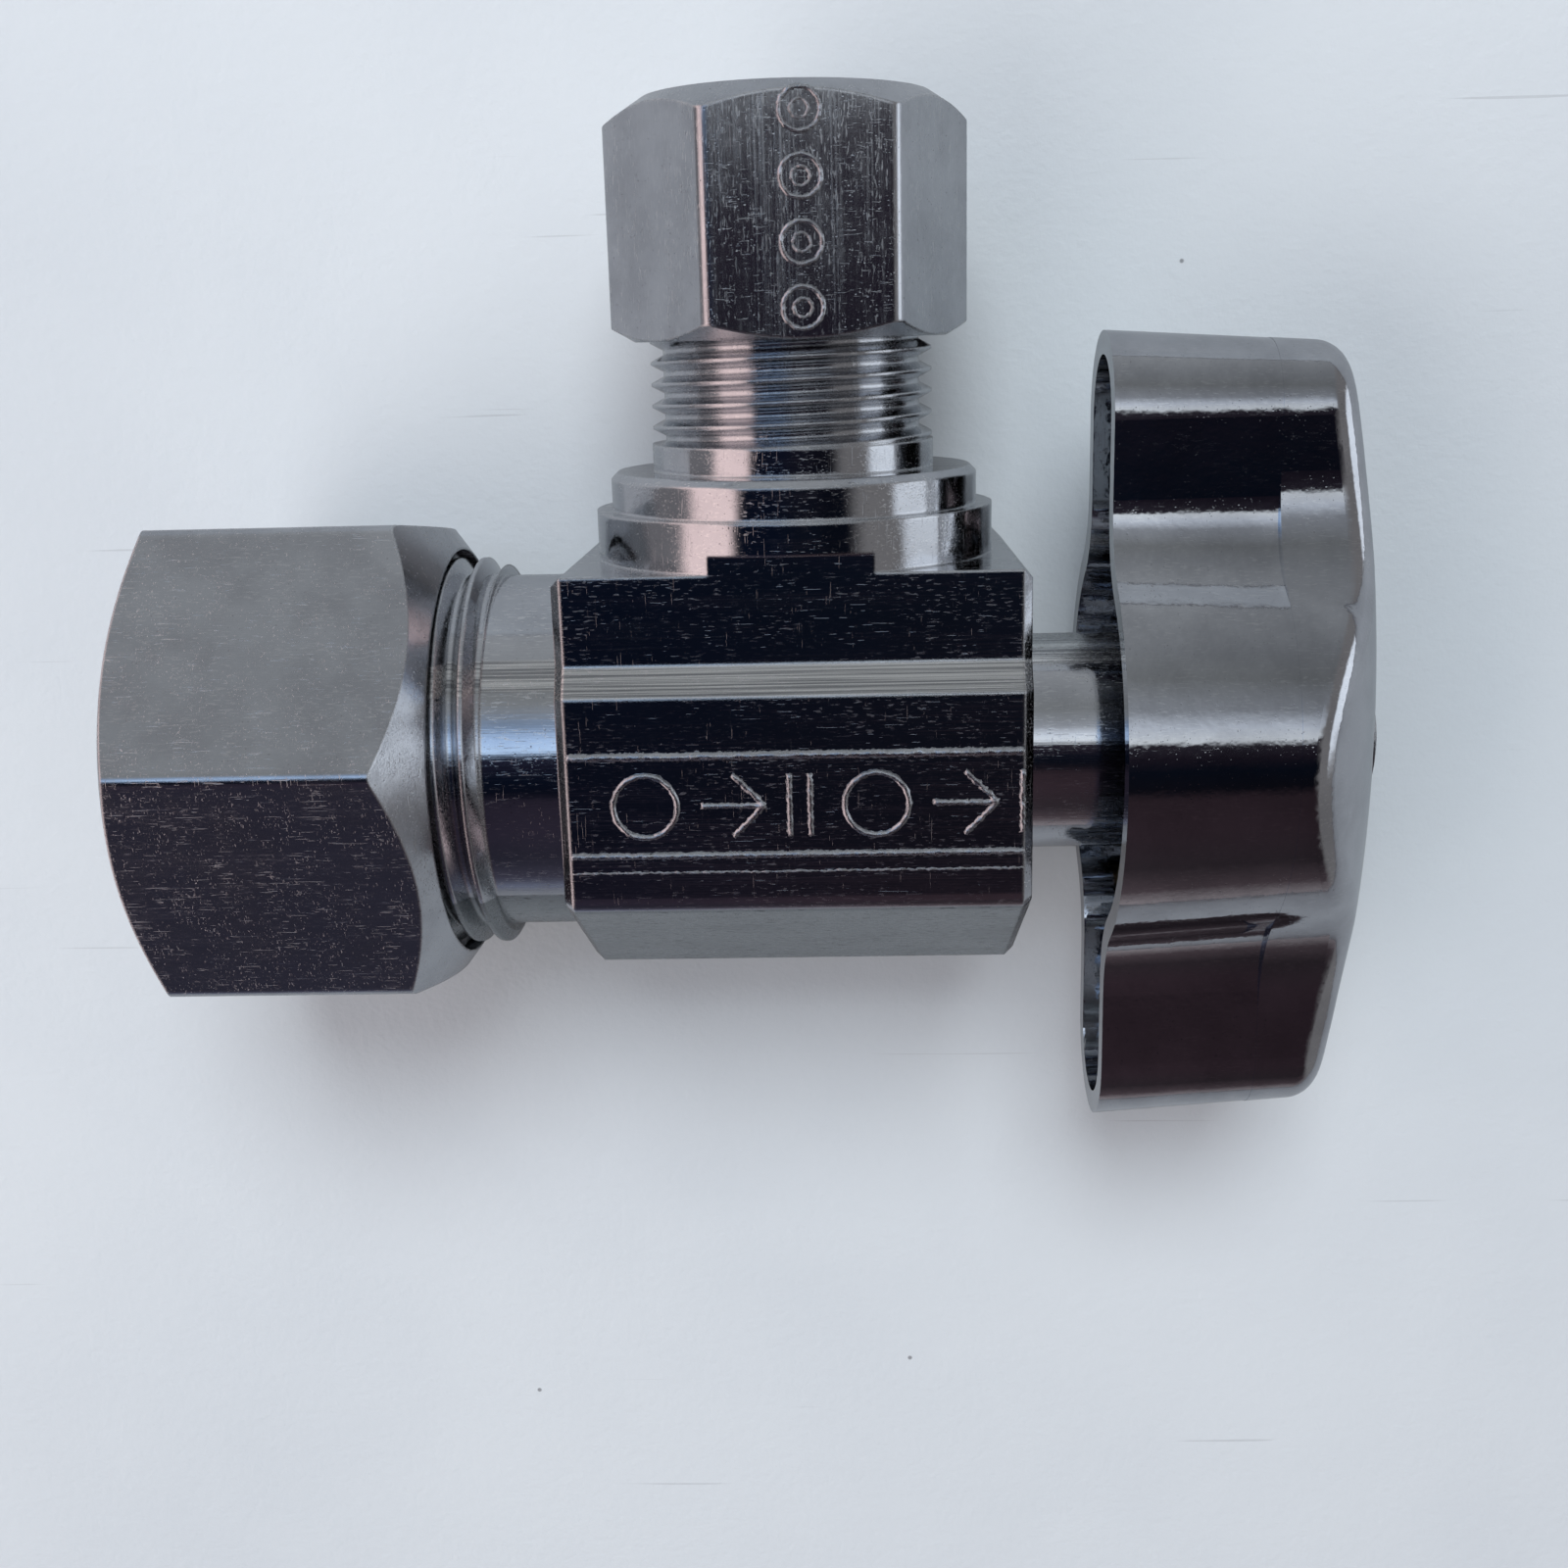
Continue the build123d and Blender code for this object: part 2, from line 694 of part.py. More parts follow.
with BuildPart() as handle:
    with BuildSketch(Plane.YZ.offset(rim_x)):
        handle_outline(0, wing_blend)
    extrude(amount=skirt_depth, taper=handle_draft)
    with BuildSketch(Plane.YZ.offset(cap_start)):
        handle_outline(skirt_depth * draft_slope - cap_lip, cap_blend)
    extrude(amount=front_depth - skirt_depth, taper=handle_draft)
    front(0)
    fillet(handle.faces().sort_by(Axis.X)[-1].edges(), front_edge_round)
    add(handle_core, mode=Mode.SUBTRACT)
    add(handle_post)
    with BuildSketch(Plane.YZ.offset(post_start - 1)):
        drive_section(drive_gap)
    extrude(amount=drive_end - post_start + 1 + drive_gap, mode=Mode.SUBTRACT)
    turn_on_inlet(
        [
            (drive_end - 1, 0),
            (drive_end - 1, screw_d / 2 + screw_hole_gap),
            (head_floor, screw_d / 2 + screw_hole_gap),
            (head_floor, screw_head_d / 2 + screw_recess_gap),
            (front_x + 1, screw_head_d / 2 + screw_recess_gap),
            (front_x + 1, 0),
        ],
        mode=Mode.SUBTRACT,
    )
handle.part.label = "handle"
export_step(handle.part, "parts/handle.step")

with BuildPart() as lock_washer:
    turn_on_inlet(
        tube(head_floor, head_floor + lock_washer_height, screw_head_d / 2 - 0.3, screw_d / 2 + 0.1)
    )
lock_washer.part.label = "lock_washer"
export_step(lock_washer.part, "parts/lock_washer.step")

head_start = head_floor + lock_washer_height
crown_r = ((screw_head_d / 2) ** 2 + screw_crown**2) / (2 * screw_crown)
with BuildPart() as handle_screw:
    turn_on_inlet(tube(head_start, head_start + screw_head_height, screw_head_d / 2))
    with Locations((head_start + screw_head_height - crown_r, 0, 0)):
        Sphere(crown_r, rotation=(0, 0, 180), mode=Mode.INTERSECT)
    turn_on_inlet(tube(screw_tip + 0.2, head_start + 0.3, screw_d / 2))
    drive_floor = head_start + screw_head_height - screw_drive_depth
    for turn in (0, 90):
        with Locations(Location((drive_floor + screw_drive_depth, 0, 0), (turn, 0, 0))):
            Box(2 * screw_drive_depth, screw_drive_width, screw_drive_length, mode=Mode.SUBTRACT)
handle_screw.part.label = "handle_screw"
export_step(handle_screw.part, "parts/handle_screw.step")
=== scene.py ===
"""Looks, light and camera for the angle stop valve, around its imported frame. Metres throughout."""
import json
import math

import bmesh
import bpy
from mathutils import Matrix, Vector, noise


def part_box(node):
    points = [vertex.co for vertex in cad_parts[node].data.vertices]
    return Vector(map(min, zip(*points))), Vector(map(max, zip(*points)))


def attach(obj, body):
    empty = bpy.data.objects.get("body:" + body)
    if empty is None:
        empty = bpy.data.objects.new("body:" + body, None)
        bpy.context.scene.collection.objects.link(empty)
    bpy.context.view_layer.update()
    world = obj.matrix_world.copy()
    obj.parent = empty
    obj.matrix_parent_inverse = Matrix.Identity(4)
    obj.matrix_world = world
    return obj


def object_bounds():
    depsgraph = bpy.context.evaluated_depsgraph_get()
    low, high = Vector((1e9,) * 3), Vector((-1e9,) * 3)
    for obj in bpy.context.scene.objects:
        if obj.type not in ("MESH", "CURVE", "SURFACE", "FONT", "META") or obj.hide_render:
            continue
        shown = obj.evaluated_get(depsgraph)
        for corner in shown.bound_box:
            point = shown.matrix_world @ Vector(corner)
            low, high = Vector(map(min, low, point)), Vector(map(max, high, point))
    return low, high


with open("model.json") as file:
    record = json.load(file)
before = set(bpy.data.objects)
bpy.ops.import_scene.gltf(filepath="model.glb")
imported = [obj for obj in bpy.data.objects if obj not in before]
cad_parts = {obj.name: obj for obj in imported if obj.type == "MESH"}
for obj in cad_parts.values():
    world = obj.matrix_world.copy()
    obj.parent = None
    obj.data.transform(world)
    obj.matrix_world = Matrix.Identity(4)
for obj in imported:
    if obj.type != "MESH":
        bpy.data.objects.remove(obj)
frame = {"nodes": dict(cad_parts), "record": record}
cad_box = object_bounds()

# ------------------------------------------------------------------ places from the frame
MM = 0.001

mounts = {mount["name"]: mount for mount in frame["record"]["mounts"]}
outlet_x = mounts["outlet_tube"]["pos_m"][0]
body_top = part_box("valve_body")[1][2]
outlet_nut_low, outlet_nut_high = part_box("outlet_nut")
outlet_nut_middle = (outlet_nut_low[1] + outlet_nut_high[1]) / 2
table_height = cad_box[0][2]


# ------------------------------------------------------------------ shader node helpers
class Nodes:
    """Short calls for adding and joining nodes in one tree."""

    # A Mix node has sockets of every kind; these are the ones that it uses for colours.
    MIX_FACTOR = 0
    MIX_FIRST = 6
    MIX_SECOND = 7
    MIX_RESULT = 2

    def __init__(self, tree):
        self.tree = tree

    def add(self, kind, **settings):
        node = self.tree.nodes.new(kind)
        for name, value in settings.items():
            setattr(node, name, value)
        return node

    def join(self, source, target):
        self.tree.links.new(source, target)

    def feed(self, socket, value):
        """Joins a socket to another one, or sets its own value."""
        if isinstance(value, bpy.types.NodeSocket):
            self.join(value, socket)
        else:
            socket.default_value = value

    def math(self, operation, first, second, clamp=False):
        node = self.add("ShaderNodeMath", operation=operation, use_clamp=clamp)
        self.feed(node.inputs[0], first)
        self.feed(node.inputs[1], second)
        return node.outputs[0]

    def times(self, first, second):
        return self.math("MULTIPLY", first, second)

    def plus(self, first, second):
        return self.math("ADD", first, second)

    def strongest(self, masks):
        """The largest of several masks at each point."""
        total = masks[0]
        for mask in masks[1:]:
            total = self.math("MAXIMUM", total, mask)
        return total

    def span(self, value, low, high, to_low=0.0, to_high=1.0):
        """Smooth step of a value from one range to another."""
        node = self.add("ShaderNodeMapRange", interpolation_type="SMOOTHSTEP")
        self.join(value, node.inputs["Value"])
        node.inputs["From Min"].default_value = low
        node.inputs["From Max"].default_value = high
        node.inputs["To Min"].default_value = to_low
        node.inputs["To Max"].default_value = to_high
        return node.outputs["Result"]

    def mix(self, factor, first, second, blend="MIX"):
        node = self.add("ShaderNodeMix", data_type="RGBA", blend_type=blend)
        self.feed(node.inputs[self.MIX_FACTOR], factor)
        self.feed(node.inputs[self.MIX_FIRST], first)
        self.feed(node.inputs[self.MIX_SECOND], second)
        return node.outputs[self.MIX_RESULT]

    def placed(self, vector, scale, turn=(0, 0, 0)):
        """A vector stretched along its axes and turned by degrees."""
        node = self.add("ShaderNodeMapping")
        self.join(vector, node.inputs["Vector"])
        node.inputs["Scale"].default_value = scale
        node.inputs["Rotation"].default_value = [math.radians(angle) for angle in turn]
        return node.outputs["Vector"]

    def noise(self, vector, scale, detail=2.0, rough=0.5, bend=0.0):
        node = self.add("ShaderNodeTexNoise")
        self.join(vector, node.inputs["Vector"])
        node.inputs["Scale"].default_value = scale
        node.inputs["Detail"].default_value = detail
        node.inputs["Roughness"].default_value = rough
        node.inputs["Distortion"].default_value = bend
        return node.outputs["Fac"]

    def cells(self, vector, scale):
        node = self.add("ShaderNodeTexVoronoi")
        self.join(vector, node.inputs["Vector"])
        node.inputs["Scale"].default_value = scale
        return node.outputs["Distance"]


# ------------------------------------------------------------------ shared effects
class Effect(Nodes):
    """A shared effect as a node group: a millimetre vector and an amount go in, a mask comes out."""

    def __init__(self, name):
        super().__init__(bpy.data.node_groups.new(name, "ShaderNodeTree"))
        self.add_socket("Vector", "INPUT", "NodeSocketVector")
        self.add_socket("Amount", "INPUT", "NodeSocketFloat")
        self.add_socket("Mask", "OUTPUT", "NodeSocketFloat")
        self.start = self.add("NodeGroupInput")
        self.end = self.add("NodeGroupOutput")
        self.vector = self.start.outputs["Vector"]

    def add_socket(self, name, side, kind):
        self.tree.interface.new_socket(name, in_out=side, socket_type=kind)

    def put_out(self, mask):
        """Sends out a mask at the strength asked for, and returns the group."""
        amount = self.start.outputs["Amount"]
        self.join(self.math("MULTIPLY", mask, amount, clamp=True), self.end.inputs["Mask"])
        return self.tree


SCRATCH_LAYERS = [
    ((0.3, 7.0, 7.0), (0, 0, 14)),
    ((7.0, 0.5, 7.0), (20, 0, -24)),
    ((0.6, 9.0, 9.0), (0, 25, 57)),
    ((8.0, 0.35, 8.0), (0, 0, 41)),
]
SCRATCH_PATCH_SCALE = (0.5, 0.5, 0.5)
SPECK_LAYERS = ((3.1, 0.2), (6.5, 0.24))
SPECK_SOFT_EDGE = 0.3
SPECK_PATCH_SHARE = 0.4
WORN_EDGE_RADIUS = 0.2 * MM


def build_scratches():
    """Sparse hairline scratches, each layer stretched and turned in its own direction."""
    effect = Effect("scratches")
    lines = []
    for scale, turn in SCRATCH_LAYERS:
        stretched = effect.placed(effect.vector, scale, turn)
        line = effect.span(effect.noise(stretched, 1.7, detail=1.0, rough=0.4, bend=0.8), 0.69, 0.75)
        patch = effect.noise(effect.placed(effect.vector, SCRATCH_PATCH_SCALE, turn), 1.1)
        lines.append(effect.times(line, effect.span(patch, 0.42, 0.6)))
    return effect.put_out(effect.strongest(lines))


def build_specks():
    """Small round pits and bright flecks of two sizes, thinned out in patches."""
    effect = Effect("specks")
    spots = []
    for scale, size in SPECK_LAYERS:
        distance = effect.cells(effect.vector, scale)
        spot = effect.span(distance, SPECK_SOFT_EDGE * size, size, to_low=1.0, to_high=0.0)
        patch = effect.noise(effect.vector, SPECK_PATCH_SHARE * scale)
        spots.append(effect.times(spot, effect.span(patch, 0.5, 0.62)))
    return effect.put_out(effect.strongest(spots))


def build_drawn_lines():
    """Fine lines that run along the first axis of the vector, as a drawn bar has them."""
    effect = Effect("drawn lines")
    fine = effect.noise(effect.placed(effect.vector, (0.05, 8.0, 8.0)), 1.2, detail=3.0, rough=0.7)
    wide = effect.noise(effect.placed(effect.vector, (0.06, 0.9, 0.9)), 1.1)
    strength = effect.span(wide, 0.38, 0.62, to_low=0.15)
    return effect.put_out(effect.times(effect.span(fine, 0.4, 0.72), strength))


def build_dashes():
    """Short rough dashes along the first axis, left by rolling and handling."""
    effect = Effect("dashes")
    field = effect.noise(effect.placed(effect.vector, (1.1, 5.5, 5.5)), 1.9, detail=1.0)
    patch = effect.noise(effect.placed(effect.vector, (0.25, 0.8, 0.8)), 1.0)
    strength = effect.span(patch, 0.38, 0.6, to_low=0.3)
    return effect.put_out(effect.times(effect.span(field, 0.58, 0.68), strength))


def build_edge_wear():
    """Mask of the edges, broken up, and the normal with those edges rounded."""
    effect = Effect("edge wear")
    rounded = effect.add("ShaderNodeBevel", samples=6)
    rounded.inputs["Radius"].default_value = WORN_EDGE_RADIUS
    shape = effect.add("ShaderNodeNewGeometry")
    facing = effect.add("ShaderNodeVectorMath", operation="DOT_PRODUCT")
    effect.join(rounded.outputs["Normal"], facing.inputs[0])
    effect.join(shape.outputs["Normal"], facing.inputs[1])
    edge = effect.span(facing.outputs["Value"], 0.93, 0.998, to_low=1.0, to_high=0.0)
    broken = effect.noise(effect.vector, 1.8, detail=4.0, rough=0.7)
    worn = effect.times(edge, effect.span(broken, 0.36, 0.58, to_low=0.25))
    effect.add_socket("Rounded", "OUTPUT", "NodeSocketVector")
    effect.join(rounded.outputs["Normal"], effect.end.inputs["Rounded"])
    return effect.put_out(worn)


EFFECTS = {
    "scratches": build_scratches(),
    "specks": build_specks(),
    "drawn lines": build_drawn_lines(),
    "dashes": build_dashes(),
    "edge wear": build_edge_wear(),
}


# ------------------------------------------------------------------ finishes
def solid(colour):
    """A colour with full cover, as a colour socket takes it."""
    return (*colour, 1.0)


class Finish(Nodes):
    """A material being built: Principled shader, millimetre vector and the shared effects."""

    def __init__(self, name, colour, metallic, roughness):
        self.material = bpy.data.materials.new(name)
        self.material.use_nodes = True
        super().__init__(self.material.node_tree)
        self.tree.nodes.clear()
        self.shader = self.add("ShaderNodeBsdfPrincipled")
        self.shader.inputs["Metallic"].default_value = metallic
        self.shader.inputs["Roughness"].default_value = roughness
        self.shader.inputs["Base Color"].default_value = solid(colour)
        output = self.add("ShaderNodeOutputMaterial")
        self.join(self.shader.outputs["BSDF"], output.inputs["Surface"])
        place = self.add("ShaderNodeTexCoord")
        self.mm = self.placed(place.outputs["Object"], (1 / MM, 1 / MM, 1 / MM))

    def effect(self, name, amount, vector=None):
        """Places a shared effect and returns its outputs."""
        group = self.add("ShaderNodeGroup")
        group.node_tree = EFFECTS[name]
        self.join(vector or self.mm, group.inputs["Vector"])
        group.inputs["Amount"].default_value = amount
        return group.outputs

    def relief(self, height, depth_mm, normal=None):
        """A bump of a real depth in millimetres; a negative depth sinks it."""
        bump = self.add("ShaderNodeBump")
        bump.inputs["Strength"].default_value = 1.0
        bump.inputs["Distance"].default_value = depth_mm * MM
        self.join(height, bump.inputs["Height"])
        if normal is not None:
            self.join(normal, bump.inputs["Normal"])
        return bump.outputs["Normal"]

    def height_band(self, low, high):
        """Mask of the stretch between two heights along the outlet's axis, in millimetres."""
        parts = self.add("ShaderNodeSeparateXYZ")
        self.join(self.mm, parts.inputs["Vector"])
        rise = self.span(parts.outputs["Y"], low - BAND_SOFTNESS, low + BAND_SOFTNESS)
        fall = self.span(parts.outputs["Y"], high - BAND_SOFTNESS, high + BAND_SOFTNESS, 1.0, 0.0)
        return self.times(rise, fall)

    def done(self, colour, roughness, normal):
        for label, socket in (("Base Color", colour), ("Roughness", roughness), ("Normal", normal)):
            if socket is not None:
                self.join(socket, self.shader.inputs[label])
        return self.material


PLATE = (0.53, 0.545, 0.575)
WORN_PLATE = (0.72, 0.73, 0.74)
DULL_PLATE = (0.22, 0.225, 0.25)
STREAK_DARK = (0.26, 0.265, 0.28)
STREAK_BRIGHT = (0.86, 0.86, 0.85)
# Painted shade: the underside's dark grey stands for the shaded table mirrored in it; the darker spots
# are its own
UNDERSIDE_SHADE_GREY = (0.25, 0.27, 0.28)
UNDERSIDE_SPOT = (0.05, 0.055, 0.06)

# Heights on the body, in millimetres along the outlet's axis
STRIP_HEIGHTS = (4.7, 6.1)
UNDERSIDE_HEIGHTS = (-13.0, -6.0)
BAND_SOFTNESS = 0.06

# What each kind of wear adds to the plating's roughness
MARK_ROUGHNESS = 0.3
LINE_ROUGHNESS = 0.14
PIT_ROUGHNESS = 0.25
STRIP_ROUGHNESS = 0.16
UNDERSIDE_ROUGHNESS = 0.2
CLOUD_SWING = 0.3

# How far the strip, and the underside's painted shade and spots, hide the plating below them
STRIP_COVER = 0.9
UNDERSIDE_SHADE_AND_SPOT_COVER = 0.85

# Depths, in millimetres
PLATE_LINE_DEPTH = 0.003
PIT_DEPTH = 0.006
FINE_PEEL_SHARE = 0.3
TURNED_LINE_DEPTH = 0.01

ALONG_X = (0, 0, 0)
ALONG_Y = (0, 0, 90)


def brushed_strip(finish, lengthwise, colour, rough):
    """Colour and roughness with the bright brushed strip laid over them."""
    band = finish.height_band(*STRIP_HEIGHTS)
    fine = finish.noise(finish.placed(lengthwise, (0.04, 9.0, 9.0)), 1.1, detail=3.0, rough=0.75)
    streaks = finish.mix(finish.span(fine, 0.38, 0.62), solid(STREAK_DARK), solid(STREAK_BRIGHT))
    colour = finish.mix(finish.times(band, STRIP_COVER), colour, streaks)
    return colour, finish.plus(rough, finish.times(band, STRIP_ROUGHNESS))


def shaded_underside(finish, lengthwise, colour, rough):
    """Colour and roughness with the dull, spotted underside laid over them; its dark grey is painted
    shade, standing for the shaded table that it mirrors, and the spots are its own.
    """
    band = finish.height_band(*UNDERSIDE_HEIGHTS)
    blots = finish.noise(finish.placed(lengthwise, (1.1, 3.6, 3.6)), 1.3, detail=1.0)
    # Painted shade: dark grey for the shaded table that this facet mirrors, with dark spots of its own
    shade_and_spots = finish.mix(finish.span(blots, 0.66, 0.73), solid(UNDERSIDE_SHADE_GREY), solid(UNDERSIDE_SPOT))
    colour = finish.mix(finish.times(band, UNDERSIDE_SHADE_AND_SPOT_COVER), colour, shade_and_spots)
    return colour, finish.plus(rough, finish.times(band, UNDERSIDE_ROUGHNESS))


def plated(name, roughness, scratch, speck, lines, dash, peel_mm, wear=0.6, haze=0.3,
           line_turn=ALONG_X, overlays=()):
    """Chrome plating over machined brass, with as much wear of each kind as asked for."""
    finish = Finish(name, PLATE, 1.0, roughness)
    lengthwise = finish.placed(finish.mm, (1, 1, 1), line_turn)
    scratches = finish.effect("scratches", scratch)["Mask"]
    specks = finish.effect("specks", speck)["Mask"]
    drawn = finish.effect("drawn lines", lines, lengthwise)["Mask"]
    dashes = finish.effect("dashes", dash, lengthwise)["Mask"]
    rubbed = [scratches, dashes]
    rounded = None
    if wear:
        edges = finish.effect("edge wear", wear)
        rubbed.append(edges["Mask"])
        rounded = edges["Rounded"]
    marks = finish.strongest(rubbed)

    cloud = finish.noise(finish.mm, 0.3, detail=4.0, rough=0.6)
    hazy = finish.span(cloud, 0.35, 0.7, to_high=haze)
    colour = finish.mix(hazy, solid(PLATE), solid(DULL_PLATE))
    colour = finish.mix(specks, colour, solid(DULL_PLATE))
    colour = finish.mix(marks, colour, solid(WORN_PLATE))

    rough = finish.span(cloud, 0.3, 0.75, roughness * (1 - CLOUD_SWING), roughness * (1 + CLOUD_SWING))
    rough = finish.plus(rough, finish.times(marks, MARK_ROUGHNESS))
    rough = finish.plus(rough, finish.times(drawn, LINE_ROUGHNESS))
    rough = finish.plus(rough, finish.times(specks, PIT_ROUGHNESS))
    for overlay in overlays:
        colour, rough = overlay(finish, lengthwise, colour, rough)

    normal = finish.relief(finish.noise(finish.mm, 0.9), peel_mm, rounded)
    normal = finish.relief(finish.noise(finish.mm, 3.2, detail=1.0), FINE_PEEL_SHARE * peel_mm, normal)
    normal = finish.relief(drawn, PLATE_LINE_DEPTH, normal)
    normal = finish.relief(finish.strongest([scratches, specks]), -PIT_DEPTH, normal)
    return finish.done(colour, rough, normal)


def turned_metal(name, colour, dark, roughness):
    """Bare turned metal with tool lines, light scratches and slightly uneven colour."""
    finish = Finish(name, colour, 1.0, roughness)
    lines = finish.effect("drawn lines", 1.0)["Mask"]
    scratches = finish.effect("scratches", 0.5)["Mask"]
    cloud = finish.span(finish.noise(finish.mm, 0.5, detail=4.0, rough=0.6), 0.35, 0.7)
    shade = finish.mix(cloud, solid(colour), solid(dark))
    rough = finish.span(cloud, 0.0, 1.0, roughness, roughness + 0.15)
    normal = finish.relief(lines, TURNED_LINE_DEPTH)
    return finish.done(shade, rough, finish.relief(scratches, TURNED_LINE_DEPTH, normal))


def moulded(name, colour, dark, roughness, grain_mm):
    """Seat plastic or rubber with a fine grain and slightly uneven colour."""
    finish = Finish(name, colour, 0.0, roughness)
    cloud = finish.span(finish.noise(finish.mm, 0.8, detail=3.0), 0.35, 0.65)
    shade = finish.mix(cloud, solid(colour), solid(dark))
    specks = finish.effect("specks", 0.5)["Mask"]
    rough = finish.span(cloud, 0.0, 1.0, roughness, roughness + 0.12)
    rough = finish.plus(rough, finish.times(specks, 0.1))
    grain = finish.noise(finish.mm, 9.0, detail=3.0)
    return finish.done(shade, rough, finish.relief(grain, grain_mm))


materials = {
    # The body's underside carries painted shade
    "body": plated("plated body", roughness=0.06, scratch=0.3, speck=0.5, lines=0.6, dash=0.75,
                   peel_mm=0.003, haze=0.2, overlays=(brushed_strip, shaded_underside)),
    "inlet nut": plated("plated inlet nut", roughness=0.15, scratch=0.8, speck=0.5, lines=0.5,
                        dash=0.3, peel_mm=0.004, wear=0.8),
    "outlet nut": plated("plated outlet nut", roughness=0.12, scratch=0.25, speck=0.8, lines=1.0,
                         dash=0.5, peel_mm=0.003, wear=0.8, line_turn=ALONG_Y),
    "handle": plated("plated handle", roughness=0.05, scratch=0.05, speck=0.4, lines=0.0,
                     dash=0.3, peel_mm=0.009, wear=0.0),
    "raised marks": plated("plated raised marks", roughness=0.16, scratch=0.6, speck=0.3, lines=0.0,
                           dash=0.8, peel_mm=0.012, wear=1.0),
    "ball": plated("polished ball", roughness=0.04, scratch=0.1, speck=0.1, lines=0.1,
                   dash=0.2, peel_mm=0.001),
    "steel": turned_metal("plated screw steel", (0.5, 0.5, 0.51), (0.36, 0.36, 0.37), 0.24),
    "sleeve": turned_metal("turned sleeve brass", (0.78, 0.58, 0.28), (0.6, 0.42, 0.2), 0.22),
    "inside": turned_metal("turned stem brass", (0.72, 0.53, 0.26), (0.55, 0.38, 0.18), 0.26),
    "seat": moulded("seat plastic", (0.86, 0.86, 0.82), (0.76, 0.76, 0.71), 0.42, 0.01),
    "rubber": moulded("ring rubber", (0.02, 0.02, 0.021), (0.035, 0.034, 0.033), 0.55, 0.02),
}
FINISHED_NODES = {
    "body": ["valve_body"],
    "inlet nut": ["inlet_nut"],
    "outlet nut": ["outlet_nut"],
    "handle": ["handle"],
    "ball": ["ball"],
    "steel": ["handle_screw", "lock_washer", "stop_washer"],
    "sleeve": ["inlet_ferrule", "outlet_ferrule"],
    "inside": ["seat_retainer", "stem"],
    "seat": ["inlet_seat", "outlet_seat", "stem_side_seat", "stem_thrust_washer"],
    "rubber": ["seat_backing_ring", "stem_o_ring_inner", "stem_o_ring_outer", "dust_ring"],
}
for finish_name, node_names in FINISHED_NODES.items():
    for node_name in node_names:
        for material_slot in frame["nodes"][node_name].material_slots:
            material_slot.material = materials[finish_name]

# ------------------------------------------------------------------ rolled and stamped marks
WEAR_SEED = 3
MARK_SINK = 0.15 * MM
RIB_STEP = 0.11 * MM
RIB_ROWS = 6
RIB_WEAR = (0.085 * MM, 0.14 * MM)
RING_WEAR = (0.075 * MM, 0.15 * MM)
RING_STEPS = 64
RING_SIDES = 10

# The bar's side flat: each line's distance from the inlet axis, its width and its height
UPPER_LINE = (1.85 * MM, 0.46 * MM, 0.17 * MM)
LOWER_LINE = (-3.1 * MM, 0.38 * MM, 0.15 * MM)
THIN_LINE = (-3.95 * MM, 0.12 * MM, 0.05 * MM)
LINE_HALF_LENGTH = 11.0 * MM
MARK_HALF_HEIGHT = 1.55 * MM
MARK_STROKE = (0.3 * MM, 0.09 * MM)
MARK_REPEAT = 11.2 * MM
REPEAT_PLACES = (-0.65, 0.35)
RING_TO_ARROW = 2.7 * MM
ARROW_LENGTH = 3.1 * MM
ARROW_TO_BARS = (1.2 * MM, 2.2 * MM)

# The outlet nut's front flat: radius and stroke of the two rings of each mark
NUT_ACROSS_FLATS = 15.875 * MM
NUT_TURN = math.radians(6.0)
NUT_MARK_SPACING = 2.9 * MM
NUT_MARK_PLACES = (-1.5, -0.5, 0.5, 1.5)
NUT_MARK_RINGS = ((0.95 * MM, 0.24 * MM), (0.42 * MM, 0.16 * MM))


def roughen(verts, amount, grain):
    """Pushes points about as a worn rolling die leaves them."""
    for vert in verts:
        vert.co += amount * noise.noise_vector(vert.co / grain)


def rib(mesh, start, end, width, height):
    """Raised straight line between two points of a flat that faces up, closed underneath."""
    start = Vector(start)
    end = Vector(end)
    run = end - start
    steps = max(4, round(run.length / RIB_STEP))
    made = bmesh.ops.create_grid(mesh, x_segments=steps, y_segments=RIB_ROWS, size=0.5)["verts"]
    for vert in made:
        across = 2 * vert.co.y
        vert.co.z = height * (1 - across**2)
    bmesh.ops.scale(mesh, verts=made, vec=(run.length, width, 1))
    turned = Vector((1, 0, 0)).rotation_difference(run).to_matrix().to_4x4()
    bmesh.ops.transform(mesh, verts=made, matrix=Matrix.Translation((start + end) / 2) @ turned)
    faces = list(dict.fromkeys(face for vert in made for face in vert.link_faces))
    lower = bmesh.ops.extrude_face_region(mesh, geom=faces, use_keep_orig=True)["geom"]
    for vert in lower:
        if isinstance(vert, bmesh.types.BMVert):
            vert.co.z = start.z - MARK_SINK
    roughen(made, *RIB_WEAR)


def ring(mesh, middle, radius, stroke):
    """Raised round outline, half sunk in its flat."""
    profile = bmesh.ops.create_circle(mesh, segments=RING_SIDES, radius=stroke / 2)["verts"]
    outward = Matrix.Translation(Vector(middle) + Vector((radius, 0, 0)))
    upright = outward @ Matrix.Rotation(math.pi / 2, 4, "X")
    bmesh.ops.transform(mesh, verts=profile, matrix=upright)
    edges = list(dict.fromkeys(edge for vert in profile for edge in vert.link_edges))
    before = set(mesh.verts) - set(profile)
    bmesh.ops.spin(mesh, geom=profile + edges, cent=middle, axis=(0, 0, 1), angle=2 * math.pi,
                   steps=RING_STEPS, use_merge=True)
    roughen([vert for vert in mesh.verts if vert not in before], *RING_WEAR)


